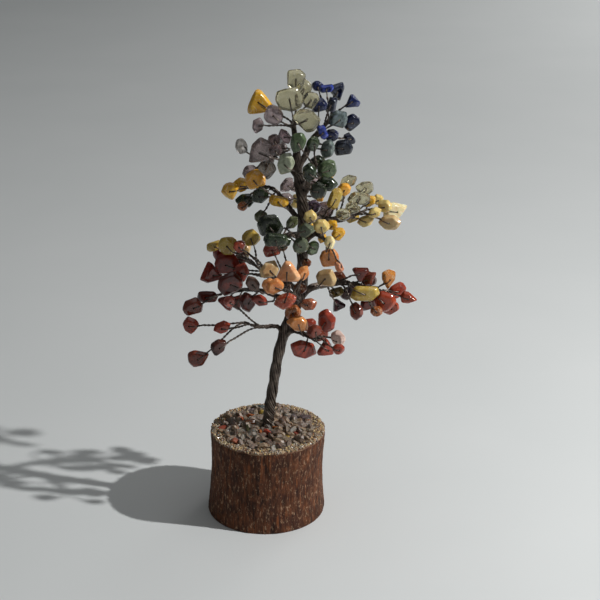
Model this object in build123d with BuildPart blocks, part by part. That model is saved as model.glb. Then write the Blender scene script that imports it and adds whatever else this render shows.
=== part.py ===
"""Gemstone tree ornament: a twisted wire tree hung with drilled stone chips, standing in a log base.

Millimetres, +Z up. The origin is the centre of the log's flat underside and -Y faces the viewer.
Every limb of the tree is a wire bundle that bends at its root, and its chips ride with it.
"""

import os
from math import cos, radians, sin

from build123d import *

os.makedirs("parts", exist_ok=True)

# Log base
LOG_TOP_DIAMETER = 50.0
LOG_WAIST_DIAMETER = 48.8
LOG_FOOT_DIAMETER = 51.5
LOG_HEIGHT = 38.0
SOCKET_DIAMETER = 8.0
SOCKET_DEPTH = 22.0

# Resin bed that holds the trunk and the gravel
RIM_WIDTH = 2.2
BED_THICKNESS = 0.6

# Gravel on the bed
GRAVEL_COUNT = 72
GRAVEL_SIZE = 3.6
GRAVEL_HEIGHT = 0.9
GRAVEL_PILE = 1.6
GRAVEL_GAP = 0.25
GOLDEN_ANGLE = 137.508

# Trunk: x, y and height above the log's top, with the bundle's diameter there
TRUNK_FOOT_DIAMETER = 5.4
TRUNK_DEPTH = 21.0
TRUNK_ROUTE = [
    ((0.0, 0.0, 0.0), TRUNK_FOOT_DIAMETER),
    ((0.5, 0.0, 8.0), 5.0),
    ((2.4, 0.0, 20.0), 4.7),
    ((4.2, 0.0, 33.0), 4.6),
    ((6.8, 0.0, 44.0), 4.8),
    ((10.2, 0.0, 53.5), 5.2),
    ((13.6, 0.0, 61.0), 5.5),
    ((15.2, 0.0, 68.0), 5.0),
    ((15.0, 0.0, 78.0), 4.8),
    ((15.2, 0.0, 89.0), 5.0),
    ((15.6, 0.0, 98.5), 4.8),
    ((14.2, 0.0, 109.0), 4.4),
    ((13.0, 0.0, 117.0), 4.2),
    ((12.6, 0.0, 123.0), 3.8),
    ((12.8, 0.0, 128.0), 3.0),
]
BUNDLE_SIDES = 8

# Limbs
HINGE_GAP = 0.5
KNUCKLE_DIAMETER = 2.4
KNUCKLE_LENGTH = 2.4
LIMB_ROOT_DIAMETER = 2.0
LIMB_TIP_DIAMETER = 1.1

# Twigs: one wire folded through each chip, both legs running back to the limb
WIRE_DIAMETER = 0.42
WIRE_SIDES = 6
LEG_SPACING = 0.56
WIRE_CLEARANCE = 0.12
FOLD_LEAD = 1.2
FOLD_SHOULDER = 0.85
FOLD_LEAN = 0.6
TWIG_SLANT = 0.5

# Chips: outlines as shares of a chip's length, counter-clockwise
CHIP_THICKNESS = 3.2
CHIP_HOLE = 0.9
BELLY_LEVEL = -0.05
LOWER_FACE = 0.78
UPPER_FACE = 0.72
OUTLINES = {
    "wedge": [(-0.50, -0.39), (0.36, -0.44), (0.50, -0.25), (0.14, 0.41), (-0.04, 0.46), (-0.46, -0.21)],
    "leaf": [(-0.50, -0.04), (-0.18, -0.34), (0.24, -0.29), (0.50, 0.07), (0.20, 0.34), (-0.24, 0.27)],
    "disc": [(-0.50, -0.11), (-0.26, -0.42), (0.14, -0.45), (0.46, -0.21),
             (0.50, 0.17), (0.20, 0.45), (-0.20, 0.42), (-0.46, 0.21)],
    "bar": [(-0.50, -0.11), (-0.38, -0.27), (0.34, -0.29), (0.50, -0.07), (0.42, 0.22), (-0.36, 0.27)],
    "block": [(-0.46, -0.33), (0.30, -0.44), (0.50, -0.13), (0.36, 0.40), (-0.22, 0.44), (-0.50, 0.11)],
    "drop": [(-0.50, -0.02), (0.02, -0.36), (0.36, -0.34), (0.50, 0.00), (0.34, 0.34), (-0.02, 0.31)],
    "shard": [(-0.50, -0.24), (0.10, -0.37), (0.50, -0.02), (0.26, 0.32), (-0.14, 0.37), (-0.44, 0.11)],
}


def faceted(plane, outline, length, thickness):
    """A stone of flat facets: a lower face, a wider belly and a smaller upper face on one outline."""
    rings = []
    for level, share in [(-0.5, LOWER_FACE), (BELLY_LEVEL, 1.0), (0.5, UPPER_FACE)]:
        size = length * share
        rings.append([plane.from_local_coords((x * size, y * size, level * thickness)) for x, y in outline])
    facets = [rings[0], rings[-1]]
    for low, high in zip(rings, rings[1:]):
        for corner in range(len(outline)):
            facets.append([low[corner - 1], low[corner], high[corner], high[corner - 1]])
    return Solid(Shell([Face(Wire.make_polygon(facet)) for facet in facets]))


def bundle(points, diameters, reference):
    """A tapered many-sided bar through the points, its flats lined up on the reference direction."""
    runs = [(b - a).normalized() for a, b in zip(points, points[1:])]
    aims = [runs[0]] + [(a + b).normalized() for a, b in zip(runs, runs[1:])] + [runs[-1]]
    with BuildPart() as bar:
        for point, aim, diameter in zip(points, aims, diameters):
            across = (reference - aim * reference.dot(aim)).normalized()
            with BuildSketch(Plane(point, x_dir=across, z_dir=aim)):
                RegularPolygon(diameter / 2, BUNDLE_SIDES)
        loft(ruled=True)
    return bar.part


def trunk_at(height):
    """Centre and diameter of the trunk at a height above the log's top."""
    for (low, low_size), (high, high_size) in zip(TRUNK_ROUTE, TRUNK_ROUTE[1:]):
        if height <= high[2]:
            share = (height - low[2]) / (high[2] - low[2])
            centre = Vector(low) + (Vector(high) - Vector(low)) * share
            return centre + Vector(0, 0, LOG_HEIGHT), low_size + (high_size - low_size) * share


def limb_root(height, heading):
    """Where a limb hinges: beside the trunk on its heading, or on top of the trunk without one."""
    centre, size = trunk_at(height)
    if heading is None:
        return centre + Vector(0, 0, HINGE_GAP + KNUCKLE_DIAMETER / 2)
    reach = size / 2 + HINGE_GAP + KNUCKLE_DIAMETER / 2
    return centre + Vector(cos(radians(heading)), sin(radians(heading)), 0) * reach


def chip_plane(centre, tilt, turn):
    """A chip's broad face: it looks at the viewer, then tilts in the picture and turns about Z."""
    flat = cos(radians(tilt))
    along = Vector(flat * cos(radians(turn)), flat * sin(radians(turn)), sin(radians(tilt)))
    return Plane(centre, x_dir=along, z_dir=Vector(sin(radians(turn)), -cos(radians(turn)), 0))


def drilled_chip(plane, outline, length):
    """One tumbled chip, drilled through its thin way for the wire."""
    with BuildPart() as chip:
        add(faceted(plane, OUTLINES[outline], length, CHIP_THICKNESS))
        with BuildSketch(plane):
            RegularPolygon(CHIP_HOLE / 2, WIRE_SIDES)
        extrude(amount=CHIP_THICKNESS, both=True, mode=Mode.SUBTRACT)
    return chip.part


def place_along(route, target):
    """Where a chip's twig leaves a limb: measured along its route, and straight on past its tip."""
    best = None
    passed = 0.0
    for a, b in zip(route, route[1:]):
        run = b - a
        share = max(0.0, (target - a).dot(run) / run.dot(run))
        if b is not route[-1]:
            share = min(1.0, share)
        distance = (target - (a + run * share)).length
        if best is None or distance < best[0]:
            best = (distance, passed + share * run.length)
        passed += run.length
    return best[1] - TWIG_SLANT * best[0]


def leaving_points(route, centres):
    """A point of the limb for each chip, evenly spaced up to the tip in the order the chips lie."""
    spine = Wire.make_polygon(route, close=False)
    order = sorted(range(len(centres)), key=lambda number: place_along(route, centres[number]))
    points = [None] * len(centres)
    for rank, number in enumerate(order, start=1):
        passed = KNUCKLE_DIAMETER + (spine.length - KNUCKLE_DIAMETER) * rank / len(order)
        points[number] = spine.position_at(passed, position_mode=PositionMode.LENGTH)
    return points


def folded_wire(plane, outline, length, start):
    """The wire of one chip: out from the limb, through the drilled hole and back beside itself."""
    normal = plane.z_dir
    away = start - plane.origin
    height = away.dot(normal)
    stem = (away - normal * height).normalized()
    side = normal.cross(stem) * (LEG_SPACING / 2)
    reach = max((plane.x_dir * x + plane.y_dir * y).dot(stem) for x, y in OUTLINES[outline]) * length
    over = CHIP_THICKNESS / 2 + WIRE_DIAMETER / 2 + WIRE_CLEARANCE
    most = FOLD_LEAN * over
    lean = max(-most, min(most, height / 2))
    edge = plane.origin + stem * (reach + FOLD_LEAD) + normal * lean
    front = plane.origin + normal * over
    back = plane.origin - normal * over
    shoulder = stem * (FOLD_SHOULDER * reach)
    route = [start + side, edge + side, front + shoulder, front, back, back + shoulder, edge - side, start - side]
    with BuildPart() as wire:
        with BuildLine() as path:
            Polyline(route)
        with BuildSketch(Plane(route[0], x_dir=side, z_dir=route[1] - route[0])):
            RegularPolygon(WIRE_DIAMETER / 2, WIRE_SIDES)
        sweep(path=path.wires()[0], transition=Transition.RIGHT)
    return wire.part


def make_limb(name, height, heading, offsets, stones):
    """One limb: its wire bundle with the hinge knuckle, its twigs, and a node of chips per stone."""
    root = limb_root(height, heading)
    outward = Vector(0, 0, 1) if heading is None else Vector(cos(radians(heading)), sin(radians(heading)), 0)
    axis = Vector(0, 1, 0) if heading is None else Vector(0, 0, 1).cross(outward)
    route = [root] + [root + Vector(*offset) for offset in offsets]
    step = (LIMB_TIP_DIAMETER - LIMB_ROOT_DIAMETER) / len(offsets)
    sizes = [LIMB_ROOT_DIAMETER + step * number for number in range(len(route))]

    with BuildPart() as limb:
        add(bundle(route, sizes, axis))
        with BuildSketch(Plane(root - axis * (KNUCKLE_LENGTH / 2), z_dir=axis)):
            Circle(KNUCKLE_DIAMETER / 2)
        extrude(amount=KNUCKLE_LENGTH)
    limb.part.label = name + "_limb"
    export_step(limb.part, "parts/" + name + "_limb.step")

    rows = [chip for chips in stones.values() for chip in chips]
    starts = leaving_points(route, [root + Vector(*place) for outline, place, length, tilt, turn in rows])
    wires = []
    for start, (outline, place, length, tilt, turn) in zip(starts, rows):
        plane = chip_plane(root + Vector(*place), tilt, turn)
        wires.append(folded_wire(plane, outline, length, start))
    with BuildPart() as twigs:
        add(wires)
    twigs.part.label = name + "_twigs"
    export_step(twigs.part, "parts/" + name + "_twigs.step")

    for stone, chips in stones.items():
        drilled = []
        for outline, place, length, tilt, turn in chips:
            drilled.append(drilled_chip(chip_plane(root + Vector(*place), tilt, turn), outline, length))
        with BuildPart() as group:
            add(drilled)
        group.part.label = name + "_" + stone
        export_step(group.part, "parts/" + name + "_" + stone + ".step")


# The log: a waisted round block with a flat underside and a drilled socket
with BuildPart() as wood_log:
    with BuildSketch(Plane.XZ):
        with BuildLine():
            Line((0, 0), (LOG_FOOT_DIAMETER / 2, 0))
            ThreePointArc(
                (LOG_FOOT_DIAMETER / 2, 0),
                (LOG_WAIST_DIAMETER / 2, LOG_HEIGHT / 2),
                (LOG_TOP_DIAMETER / 2, LOG_HEIGHT),
            )
            Line((LOG_TOP_DIAMETER / 2, LOG_HEIGHT), (0, LOG_HEIGHT))
            Line((0, LOG_HEIGHT), (0, 0))
        make_face()
    revolve(axis=Axis.Z)
    with Locations((0, 0, LOG_HEIGHT)):
        Hole(SOCKET_DIAMETER / 2, depth=SOCKET_DEPTH)
wood_log.part.label = "wood_log"
export_step(wood_log.part, "parts/wood_log.step")

# The resin: a disc on the log with a plug in the socket, poured around the trunk's foot
bed_radius = LOG_TOP_DIAMETER / 2 - RIM_WIDTH
with BuildPart() as resin_bed:
    with BuildSketch(Plane.XY.offset(LOG_HEIGHT)):
        Circle(bed_radius)
    extrude(amount=BED_THICKNESS)
    with BuildSketch(Plane.XY.offset(LOG_HEIGHT)):
        Circle(SOCKET_DIAMETER / 2)
    extrude(amount=-SOCKET_DEPTH)
    with BuildSketch(Plane.XY.offset(LOG_HEIGHT + BED_THICKNESS)):
        Circle(TRUNK_FOOT_DIAMETER / 2)
    extrude(amount=-(BED_THICKNESS + TRUNK_DEPTH), mode=Mode.SUBTRACT)
resin_bed.part.label = "resin_bed"
export_step(resin_bed.part, "parts/resin_bed.step")

# The trunk: a round leg in the resin, then the tapering twisted bundle
trunk_points = [Vector(*point) + Vector(0, 0, LOG_HEIGHT) for point, size in TRUNK_ROUTE]
trunk_points[0] = trunk_points[0] + Vector(0, 0, BED_THICKNESS)
with BuildPart() as trunk:
    add(bundle(trunk_points, [size for point, size in TRUNK_ROUTE], Vector(0, 1, 0)))
    with BuildSketch(Plane.XY.offset(LOG_HEIGHT + BED_THICKNESS)):
        Circle(TRUNK_FOOT_DIAMETER / 2)
    extrude(amount=-(BED_THICKNESS + TRUNK_DEPTH))
trunk.part.label = "trunk"
export_step(trunk.part, "parts/trunk.step")

# The gravel: flat-bottomed chippings on a sunflower spiral, piled higher round the trunk
inner = TRUNK_FOOT_DIAMETER / 2 + GRAVEL_SIZE / 2 + GRAVEL_GAP
outer = bed_radius - GRAVEL_SIZE / 2 - GRAVEL_GAP
gravel_shapes = ["block", "disc", "shard", "leaf"]
gravel_names = ["gravel_quartz", "gravel_amethyst", "gravel_jasper"]
for kind, gravel_name in enumerate(gravel_names):
    chippings = []
    for number in range(kind, GRAVEL_COUNT, len(gravel_names)):
        share = number / (GRAVEL_COUNT - 1)
        reach = (inner**2 + share * (outer**2 - inner**2)) ** 0.5
        angle = radians(number * GOLDEN_ANGLE)
        tall = GRAVEL_HEIGHT + GRAVEL_PILE * (1 - share)
        middle = LOG_HEIGHT + BED_THICKNESS + tall / 2
        spot = Plane((reach * cos(angle), reach * sin(angle), middle), x_dir=(cos(number), sin(number), 0))
        shape = gravel_shapes[number % len(gravel_shapes)]
        chippings.append(faceted(spot, OUTLINES[shape], GRAVEL_SIZE, tall))
    with BuildPart() as gravel:
        add(chippings)
    gravel.part.label = gravel_name
    export_step(gravel.part, "parts/" + gravel_name + ".step")

# The limbs: height on the trunk, heading in plan, route from the root, and the chips by stone.
# A chip is its outline, its place from the limb's root, its length, its tilt and its turn.
make_limb("low_left", 49, 188, [(-7.5, -2.5, 0), (-13.5, -3.5, 3), (-16.5, -4.5, 3)], {
    "jasper": [
        ("block", (-36.5, -5.5, 2.4), 7.9, 60, -15),
        ("leaf", (-23, -9.5, 3), 8.4, 15, 0),
        ("shard", (-24.5, -11.5, -5), 9.2, 40, 20),
        ("drop", (-33, -9.5, -11), 11.4, 205, -10),
        ("disc", (-20, -5.5, 13), 5.5, 90, 20),
    ],
})
make_limb("low_right", 48, -40, [(4, -5.5, 0.5), (8, -9.5, 0), (11.5, -11.5, 1)], {
    "jasper": [
        ("leaf", (4, -9.5, -5.1), 13.0, -30, 10),
        ("leaf", (13.5, -12.5, 9), 12.2, 80, -20),
        ("block", (6.5, -2.5, 3), 6.7, 80, 0),
        ("wedge", (14, -11, -4.4), 8.6, 240, 15),
        ("drop", (18.5, -10.5, -0.5), 9.4, 100, -30),
        ("disc", (18.5, -18.5, -1), 5.4, 0, 0),
        ("block", (8.5, -17.5, 6.7), 6.7, 30, 20),
        ("shard", (12, -1.5, -2), 7.0, 20, 20),
    ],
    "carnelian": [
        ("shard", (2, -10.5, 7), 10.3, -35, 0),
        ("block", (-0.5, -6.5, 10.5), 7.4, 20, 0),
    ],
})
make_limb("front_middle", 63, -105, [(0, -5.5, 2), (-2.5, -11, 6), (-5, -15, 11)], {
    "carnelian": [
        ("wedge", (-4, -12.5, 16.6), 11.3, 5, -10),
        ("block", (-11.5, -7.5, 15.5), 8.6, 10, 15),
        ("disc", (-11.5, -13.5, 10.5), 7.2, 70, -10),
        ("block", (-9, -19.5, 12.7), 7.7, 30, 10),
        ("leaf", (-5, -23.5, 8), 10.6, 15, -5),
        ("shard", (2.5, -8.5, 14.5), 7.4, 60, 20),
        ("leaf", (4.5, -9.5, 1), 8.4, 5, -15),
        ("disc", (3.5, -2.5, 16.5), 4.6, 0, 0),
        ("block", (-10.5, -2.5, 22.5), 7.9, 20, 0),
        ("disc", (-6.3, 1.2, 22.5), 5.0, 0, 0),
        ("disc", (1, -2, 5), 6.0, 10, 0),
    ],
})
make_limb("left_middle", 60, 172, [(-5, 1.5, 1.5), (-12, 3.5, 3.5), (-21, 4.5, 3), (-28, 4.5, 1)], {
    "jasper": [
        ("block", (-24, -2.5, 8.5), 11.5, 30, 10),
        ("bar", (-34.5, 6.5, -1), 10.1, 10, -15),
        ("block", (-40, -1.5, -2.5), 9.1, 20, 15),
        ("wedge", (-26.5, 7.5, -4), 8.4, 75, 0),
        ("leaf", (-17, 2.5, -2), 11.0, -82, 20),
        ("shard", (-11.5, -5.5, 2), 7.7, -25, -10),
        ("leaf", (-14.5, -6.5, 10), 8.4, -65, 0),
        ("wedge", (-22, 11.5, -6), 8.0, 200, 0),
    ],
})
make_limb("left_back", 66, 150, [(-5, 7, -1), (-13, 11, 2.5), (-20, 14, 7.5)], {
    "citrine": [
        ("bar", (-33.5, 12, 13.5), 7.7, 20, 15),
        ("disc", (-27.5, 7, 15.5), 9.6, 60, -10),
        ("disc", (-18, 18, 15), 8.6, 10, 0),
        ("bar", (-21, 22, 7), 8.6, 80, 0),
    ],
    "jasper": [
        ("block", (-22.5, 3, 16.5), 6.0, 80, 0),
        ("block", (-28, 9, 6.3), 12.0, 15, -15),
        ("wedge", (-34.5, 12, 0.5), 11.0, 250, 20),
        ("shard", (-21.5, 1, 5.9), 9.1, 75, 0),
        ("block", (-31, 16, 8.5), 8.0, 30, 0),
        ("leaf", (-23, 18, 5), 9.0, 60, -5),
    ],
})
make_limb("right_middle", 66, 12, [(6, 3, 0), (14.5, 6, 0), (23.5, 8, -3.5), (30.5, 9, -5.5)], {
    "citrine": [
        ("block", (6, -4, 5.5), 9.4, 10, -20),
        ("bar", (10.5, 7, -5.2), 7.2, 20, 0),
        ("drop", (32.5, 5, 1.5), 9.6, 85, 25),
        ("bar", (22.5, 0, -3), 13.0, 2, 0),
        ("disc", (27.5, -0.5, -11), 5.5, 0, 0),
    ],
    "jasper": [
        ("wedge", (20, 2, 5.5), 7.9, 60, 0),
        ("wedge", (24.5, 13, -1.5), 8.6, 10, 20),
        ("wedge", (11, 2, -9), 6.5, 30, 0),
        ("leaf", (19, 4, -13), 9.6, 85, -15),
        ("bar", (25, 12, -12.5), 9.8, 15, 15),
        ("block", (31, 4, -8.5), 10.6, 60, -10),
        ("leaf", (37, 13, -6.9), 11.0, 15, 20),
        ("drop", (41.5, 7, -8), 8.2, 170, -10),
        ("block", (15.5, 16, -9.5), 6.7, 40, 0),
        ("wedge", (24, 5, 1.5), 8.0, 190, -25),
        ("block", (34, 11, -14), 8.0, 40, 10),
        ("leaf", (17.5, 11, -6), 8.0, 60, 0),
        ("block", (11.5, 13, -1), 7.0, 20, 0),
        ("shard", (27.5, 18, -10.5), 9.0, 20, -60),
    ],
})
make_limb("front_upper", 90, -125, [(-2, -4, 2.5), (-5, -9, 4), (-7.5, -15.5, 3)], {
    "aventurine": [
        ("block", (-11, -14, 9.5), 11.5, 10, 0),
        ("bar", (-8.5, -22, 6.5), 10.6, 0, 0),
        ("leaf", (-2, -7, 8.5), 7.2, 40, 20),
        ("block", (3.5, -12, 7), 7.2, 50, -15),
        ("disc", (1.5, -10, -0.5), 7.7, 70, 0),
        ("disc", (6.5, -3, -4), 6.7, 60, 25),
        ("shard", (-5, -6.5, 0), 7.0, 30, 25),
        ("leaf", (-11, 5.5, -2), 8.0, 20, 20),
    ],
})
make_limb("right_front", 90, -20, [(1.5, -2, 1.5), (5, -5, 0), (7.5, -7, -3)], {
    "citrine": [
        ("disc", (3.5, -8, 6.5), 7.2, 0, 0),
        ("block", (8, -1, 4.5), 5.0, 0, 0),
        ("block", (10.5, -6, 2.5), 6.2, 60, 15),
        ("shard", (7, -13, 1.5), 6.7, 80, 0),
        ("block", (-1, -4.5, 9.5), 6.0, 30, 0),
        ("leaf", (4, 3.5, -2.5), 6.0, 70, 0),
    ],
    "carnelian": [
        ("block", (7, -4, -8.9), 9.4, 20, -10),
        ("bar", (11, -8, -11), 5.5, -65, 40),
    ],
})
make_limb("right_upper", 97, 25, [(5.5, 3.5, -2.5), (12, 7.5, -4.5), (18.5, 11.5, -2.5), (25, 13.5, -1.5)], {
    "quartz": [
        ("leaf", (15, 14.5, 10.5), 8.4, 25, -20),
        ("leaf", (22.5, 19.5, 6), 9.6, -15, 20),
        ("bar", (19.5, 8.5, 5.1), 10.3, -10, 10),
        ("block", (16.5, 3.5, 2.5), 6.5, 30, 0),
        ("disc", (12.5, -0.5, 1), 6.5, 0, 0),
        ("leaf", (11.5, 18.5, 3), 8.0, 50, 0),
    ],
    "citrine": [
        ("disc", (13, 6.5, 9.5), 6.5, 40, 0),
        ("bar", (9, 0.5, 7.5), 10.3, 75, 15),
        ("leaf", (24, 14.5, 1.5), 7.1, 35, 0),
        ("block", (28, 20.5, 0.5), 5.0, 60, 0),
        ("disc", (30.5, 11.5, 0.5), 6.5, 0, -20),
        ("leaf", (26, 7.5, -1), 7.0, 20, 0),
        ("leaf", (22.5, 14, -6.9), 8.2, 10, 0),
        ("drop", (35.5, 18.5, -4), 12.5, 195, 20),
        ("leaf", (32.5, 9.5, -6), 11.0, 0, -15),
        ("block", (17, 18.5, -6.5), 6.5, 30, 0),
    ],
})
make_limb("left_upper", 98, 165, [(-4.5, 2, 6), (-9.5, 5, 11), (-14, 7, 9.5)], {
    "citrine": [
        ("block", (-26.5, 3, 9.5), 7.9, 70, 0),
        ("disc", (-22.5, 10, 9.5), 7.4, 30, 0),
        ("block", (-16, -4.5, 16.5), 9.6, 30, -15),
        ("bar", (-6.5, -5, 7.5), 9.1, -10, 0),
        ("disc", (-21.5, 3, 2.5), 4.6, 0, 0),
    ],
    "aventurine": [
        ("leaf", (-20.5, 11, 2.5), 9.8, -10, 15),
        ("leaf", (-14, 1, 8), 10.1, 35, -10),
        ("block", (-14, 5, -2.5), 6.0, 45, 0),
    ],
})
make_limb("back", 101, 88, [(-1, 6.5, -0.5), (0.5, 14.5, 0), (1.5, 22.5, 0)], {
    "amethyst": [
        ("block", (4, 3.5, -2), 7.4, 30, 0),
        ("block", (9, 13.5, -6.5), 8.4, 10, 0),
        ("leaf", (-7, 18, 3), 8.4, 40, 20),
        ("disc", (4, 32, -1), 7.2, 0, 0),
        ("leaf", (-2.5, 22, 1.5), 8.0, 20, 25),
        ("disc", (-7.5, 12, -1.5), 7.0, 0, 0),
    ],
    "citrine": [
        ("bar", (7, 12.5, 0), 6.4, 80, 0),
        ("disc", (3, 8.5, -8.5), 6.0, 30, 0),
        ("block", (9.5, 26.5, 3.5), 7.2, 20, 15),
        ("shard", (-3, 24, -6), 7.7, 60, 0),
        ("block", (2, 29, -19), 7.0, 20, 0),
    ],
})
make_limb("right_high", 110, -35, [(0, -2, 5.5), (2, -5, 9), (3, -7, 12)], {
    "aventurine": [
        ("leaf", (0.5, -12, 10.7), 9.1, 80, 0),
        ("disc", (8, -5, 10), 9.1, 20, 15),
        ("leaf", (7.5, -10, 5.5), 10.1, -10, -10),
        ("disc", (4, -16, 4.5), 7.7, 70, 0),
        ("leaf", (-4, -11, 23.1), 10.1, 65, 0),
        ("block", (2, -9, 22), 6.7, 70, 20),
        ("leaf", (-9, -10, 13.9), 11.0, 60, -15),
        ("block", (4, 6, 9.5), 7.0, 30, 0),
    ],
})
make_limb("crown_left", 119, 178, [(-2, 2, 5.5), (-7, 4, 3), (-11, 5, 0)], {
    "amethyst": [
        ("leaf", (-19, 5, 7), 9.1, -65, 60),
        ("drop", (-11.5, -3, 7), 14.4, 40, 0),
        ("block", (-5.5, 2, 10.5), 6.2, 30, 0),
        ("block", (-5, -7, 9), 5.7, 10, 0),
        ("disc", (-15.5, 2, -3), 7.2, 0, 15),
        ("block", (-9, 9, -4), 9.0, 60, -20),
        ("leaf", (-8.5, 14, -1.5), 8.0, 30, 0),
        ("disc", (-3.5, 12, 4.5), 7.0, 0, -25),
    ],
})
make_limb("crown_right", 123, 5, [(2, 1.5, 6.5), (7, 3.5, 11), (11.5, 5.5, 16.5)], {
    "lapis": [
        ("disc", (5, 12, 26.5), 5.0, 0, 0),
        ("bar", (8.5, 6, 27), 6.2, 10, 0),
        ("wedge", (12.5, 10.5, 25), 8.2, 75, 20),
        ("block", (5.5, 2.5, 21), 7.2, 20, 0),
        ("bar", (10.5, -3.5, 22.9), 7.2, 80, -15),
        ("wedge", (19, 5.5, 22), 6.7, 10, 0),
        ("block", (13.5, 0.5, 15.7), 8.6, -10, 10),
        ("block", (19, 7.5, 12.5), 7.7, 45, 20),
        ("bar", (7, -4, 11.6), 6.7, -65, 0),
        ("disc", (10.5, 2.5, 8.4), 6.2, 0, 0),
        ("bar", (18.5, 11.5, 4.5), 6.5, -45, 20),
        ("block", (15.5, 4.5, 2.5), 8.4, 15, 0),
        ("leaf", (9, -1, 3.5), 9.4, 65, -10),
    ],
})
make_limb("crown_top", 128, None, [(-1, 1, 2), (-1.5, 2, 7), (-0.5, 2, 12)], {
    "quartz": [
        ("block", (-0.5, 2, 25), 9.1, 80, 0),
        ("disc", (2.5, 7, 20), 8.2, 60, 15),
        ("disc", (-3, -5, 18.9), 12.0, -10, 0),
        ("block", (5.5, -2, 17.5), 7.5, 60, 0),
        ("block", (4, -7, 11), 11.0, -40, -10),
    ],
    "amethyst": [
        ("disc", (-9.5, -4, 12), 9.1, -60, 0),
        ("leaf", (-5, -5, 3.5), 7.5, -70, 0),
        ("leaf", (-16, 6, 5), 7.7, 70, 20),
    ],
    "citrine": [
        ("wedge", (-15.5, 2, 16), 12.0, 10, 0),
    ],
})
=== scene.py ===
"""Looks of the gemstone tree ornament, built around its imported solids.

Metres, +Z up, with the viewer on -Y. Sizes are named in millimetres and turned to metres by MM.
Every wire of a limb starts in the trunk, winds out along the limb and ends in the chip it is folded through.
"""

import math
import random

import bmesh
import bpy
from mathutils import Matrix, Vector, noise
from mathutils.geometry import interpolate_bezier


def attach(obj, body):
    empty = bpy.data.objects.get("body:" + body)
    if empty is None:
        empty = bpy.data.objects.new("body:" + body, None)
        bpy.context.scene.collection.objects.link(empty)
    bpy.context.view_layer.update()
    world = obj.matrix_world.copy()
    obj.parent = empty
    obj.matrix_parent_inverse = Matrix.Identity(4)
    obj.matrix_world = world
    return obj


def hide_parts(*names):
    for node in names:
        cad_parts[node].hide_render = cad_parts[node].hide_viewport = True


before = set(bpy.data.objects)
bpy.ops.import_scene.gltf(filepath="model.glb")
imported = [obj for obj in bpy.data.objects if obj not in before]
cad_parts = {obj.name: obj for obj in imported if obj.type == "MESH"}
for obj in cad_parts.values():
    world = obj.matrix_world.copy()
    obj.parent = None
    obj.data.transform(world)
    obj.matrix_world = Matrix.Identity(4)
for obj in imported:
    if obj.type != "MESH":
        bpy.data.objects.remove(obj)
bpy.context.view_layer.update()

MM = 0.001

# Log base: its waisted outline, and how far its foot lies to the left of its top
LOG_HEIGHT = 38.0
LOG_TOP_RADIUS = 25.0
LOG_WAIST_RADIUS = 24.4
LOG_FOOT_RADIUS = 25.75
LOG_LEAN = 1.0

# Glue bed: its reach on the log, and its top in the solids
BED_RADIUS = 22.8
BED_TOP = 38.6

# Trunk: sideways place, height above the log's top, diameter
TRUNK = [
    (0.0, 0.0, 5.4), (0.5, 8.0, 5.0), (2.4, 20.0, 4.7), (4.2, 33.0, 4.6), (6.8, 44.0, 4.8),
    (10.2, 53.5, 5.2), (13.6, 61.0, 5.5), (15.2, 68.0, 5.0), (15.0, 78.0, 4.8), (15.2, 89.0, 5.0),
    (15.6, 98.5, 4.8), (14.2, 109.0, 4.4), (13.0, 117.0, 4.2), (12.6, 123.0, 3.8), (12.8, 128.0, 3.0),
]
TRUNK_TOP = TRUNK[-1][1]

# Limbs: height on the trunk, heading in plan (none for the upright one), route from the root
LIMBS = {
    "low_left": (49, 188, [(-7.5, -2.5, 0), (-13.5, -3.5, 3), (-16.5, -4.5, 3)]),
    "low_right": (48, -40, [(4, -5.5, 0.5), (8, -9.5, 0), (11.5, -11.5, 1)]),
    "front_middle": (63, -105, [(0, -5.5, 2), (-2.5, -11, 6), (-5, -15, 11)]),
    "left_middle": (60, 172, [(-5, 1.5, 1.5), (-12, 3.5, 3.5), (-21, 4.5, 3), (-28, 4.5, 1)]),
    "left_back": (66, 150, [(-5, 7, -1), (-13, 11, 2.5), (-20, 14, 7.5)]),
    "right_middle": (66, 12, [(6, 3, 0), (14.5, 6, 0), (23.5, 8, -3.5), (30.5, 9, -5.5)]),
    "front_upper": (90, -125, [(-2, -4, 2.5), (-5, -9, 4), (-7.5, -15.5, 3)]),
    "right_front": (90, -20, [(1.5, -2, 1.5), (5, -5, 0), (7.5, -7, -3)]),
    "right_upper": (97, 25, [(5.5, 3.5, -2.5), (12, 7.5, -4.5), (18.5, 11.5, -2.5), (25, 13.5, -1.5)]),
    "left_upper": (98, 165, [(-4.5, 2, 6), (-9.5, 5, 11), (-14, 7, 9.5)]),
    "back": (101, 88, [(-1, 6.5, -0.5), (0.5, 14.5, 0), (1.5, 22.5, 0)]),
    "right_high": (110, -35, [(0, -2, 5.5), (2, -5, 9), (3, -7, 12)]),
    "crown_left": (119, 178, [(-2, 2, 5.5), (-7, 4, 3), (-11, 5, 0)]),
    "crown_right": (123, 5, [(2, 1.5, 6.5), (7, 3.5, 11), (11.5, 5.5, 16.5)]),
    "crown_top": (128, None, [(-1, 1, 2), (-1.5, 2, 7), (-0.5, 2, 12)]),
}

# How far a limb's root, where it bends, stands off the trunk
HINGE_REACH = 1.7

# Wire thickness: bare in the solids, drawn with its varnish, inside the trunk, and round the trunk
BARE_WIRE = 0.42
WIRE = 0.5
INNER_WIRE = 0.9
TRUNK_WIRE = 0.95

# Length of one turn: of a pair's two legs, of a limb, and of the trunk at its foot and higher up
PAIR_PITCH = 3.4
LIMB_PITCH = 9.0
FOOT_PITCH = 13.0
TRUNK_PITCH = 38.0

# Distance between points: on a limb's middle line, on a pair's and on the trunk's
LINE_STEP = 0.4
WIRE_STEP = 0.55
TRUNK_STEP = 0.6

# Chips: half their thickness, and the hole's diameter
CHIP_HALF = 1.6
CHIP_HOLE = 0.9

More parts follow.
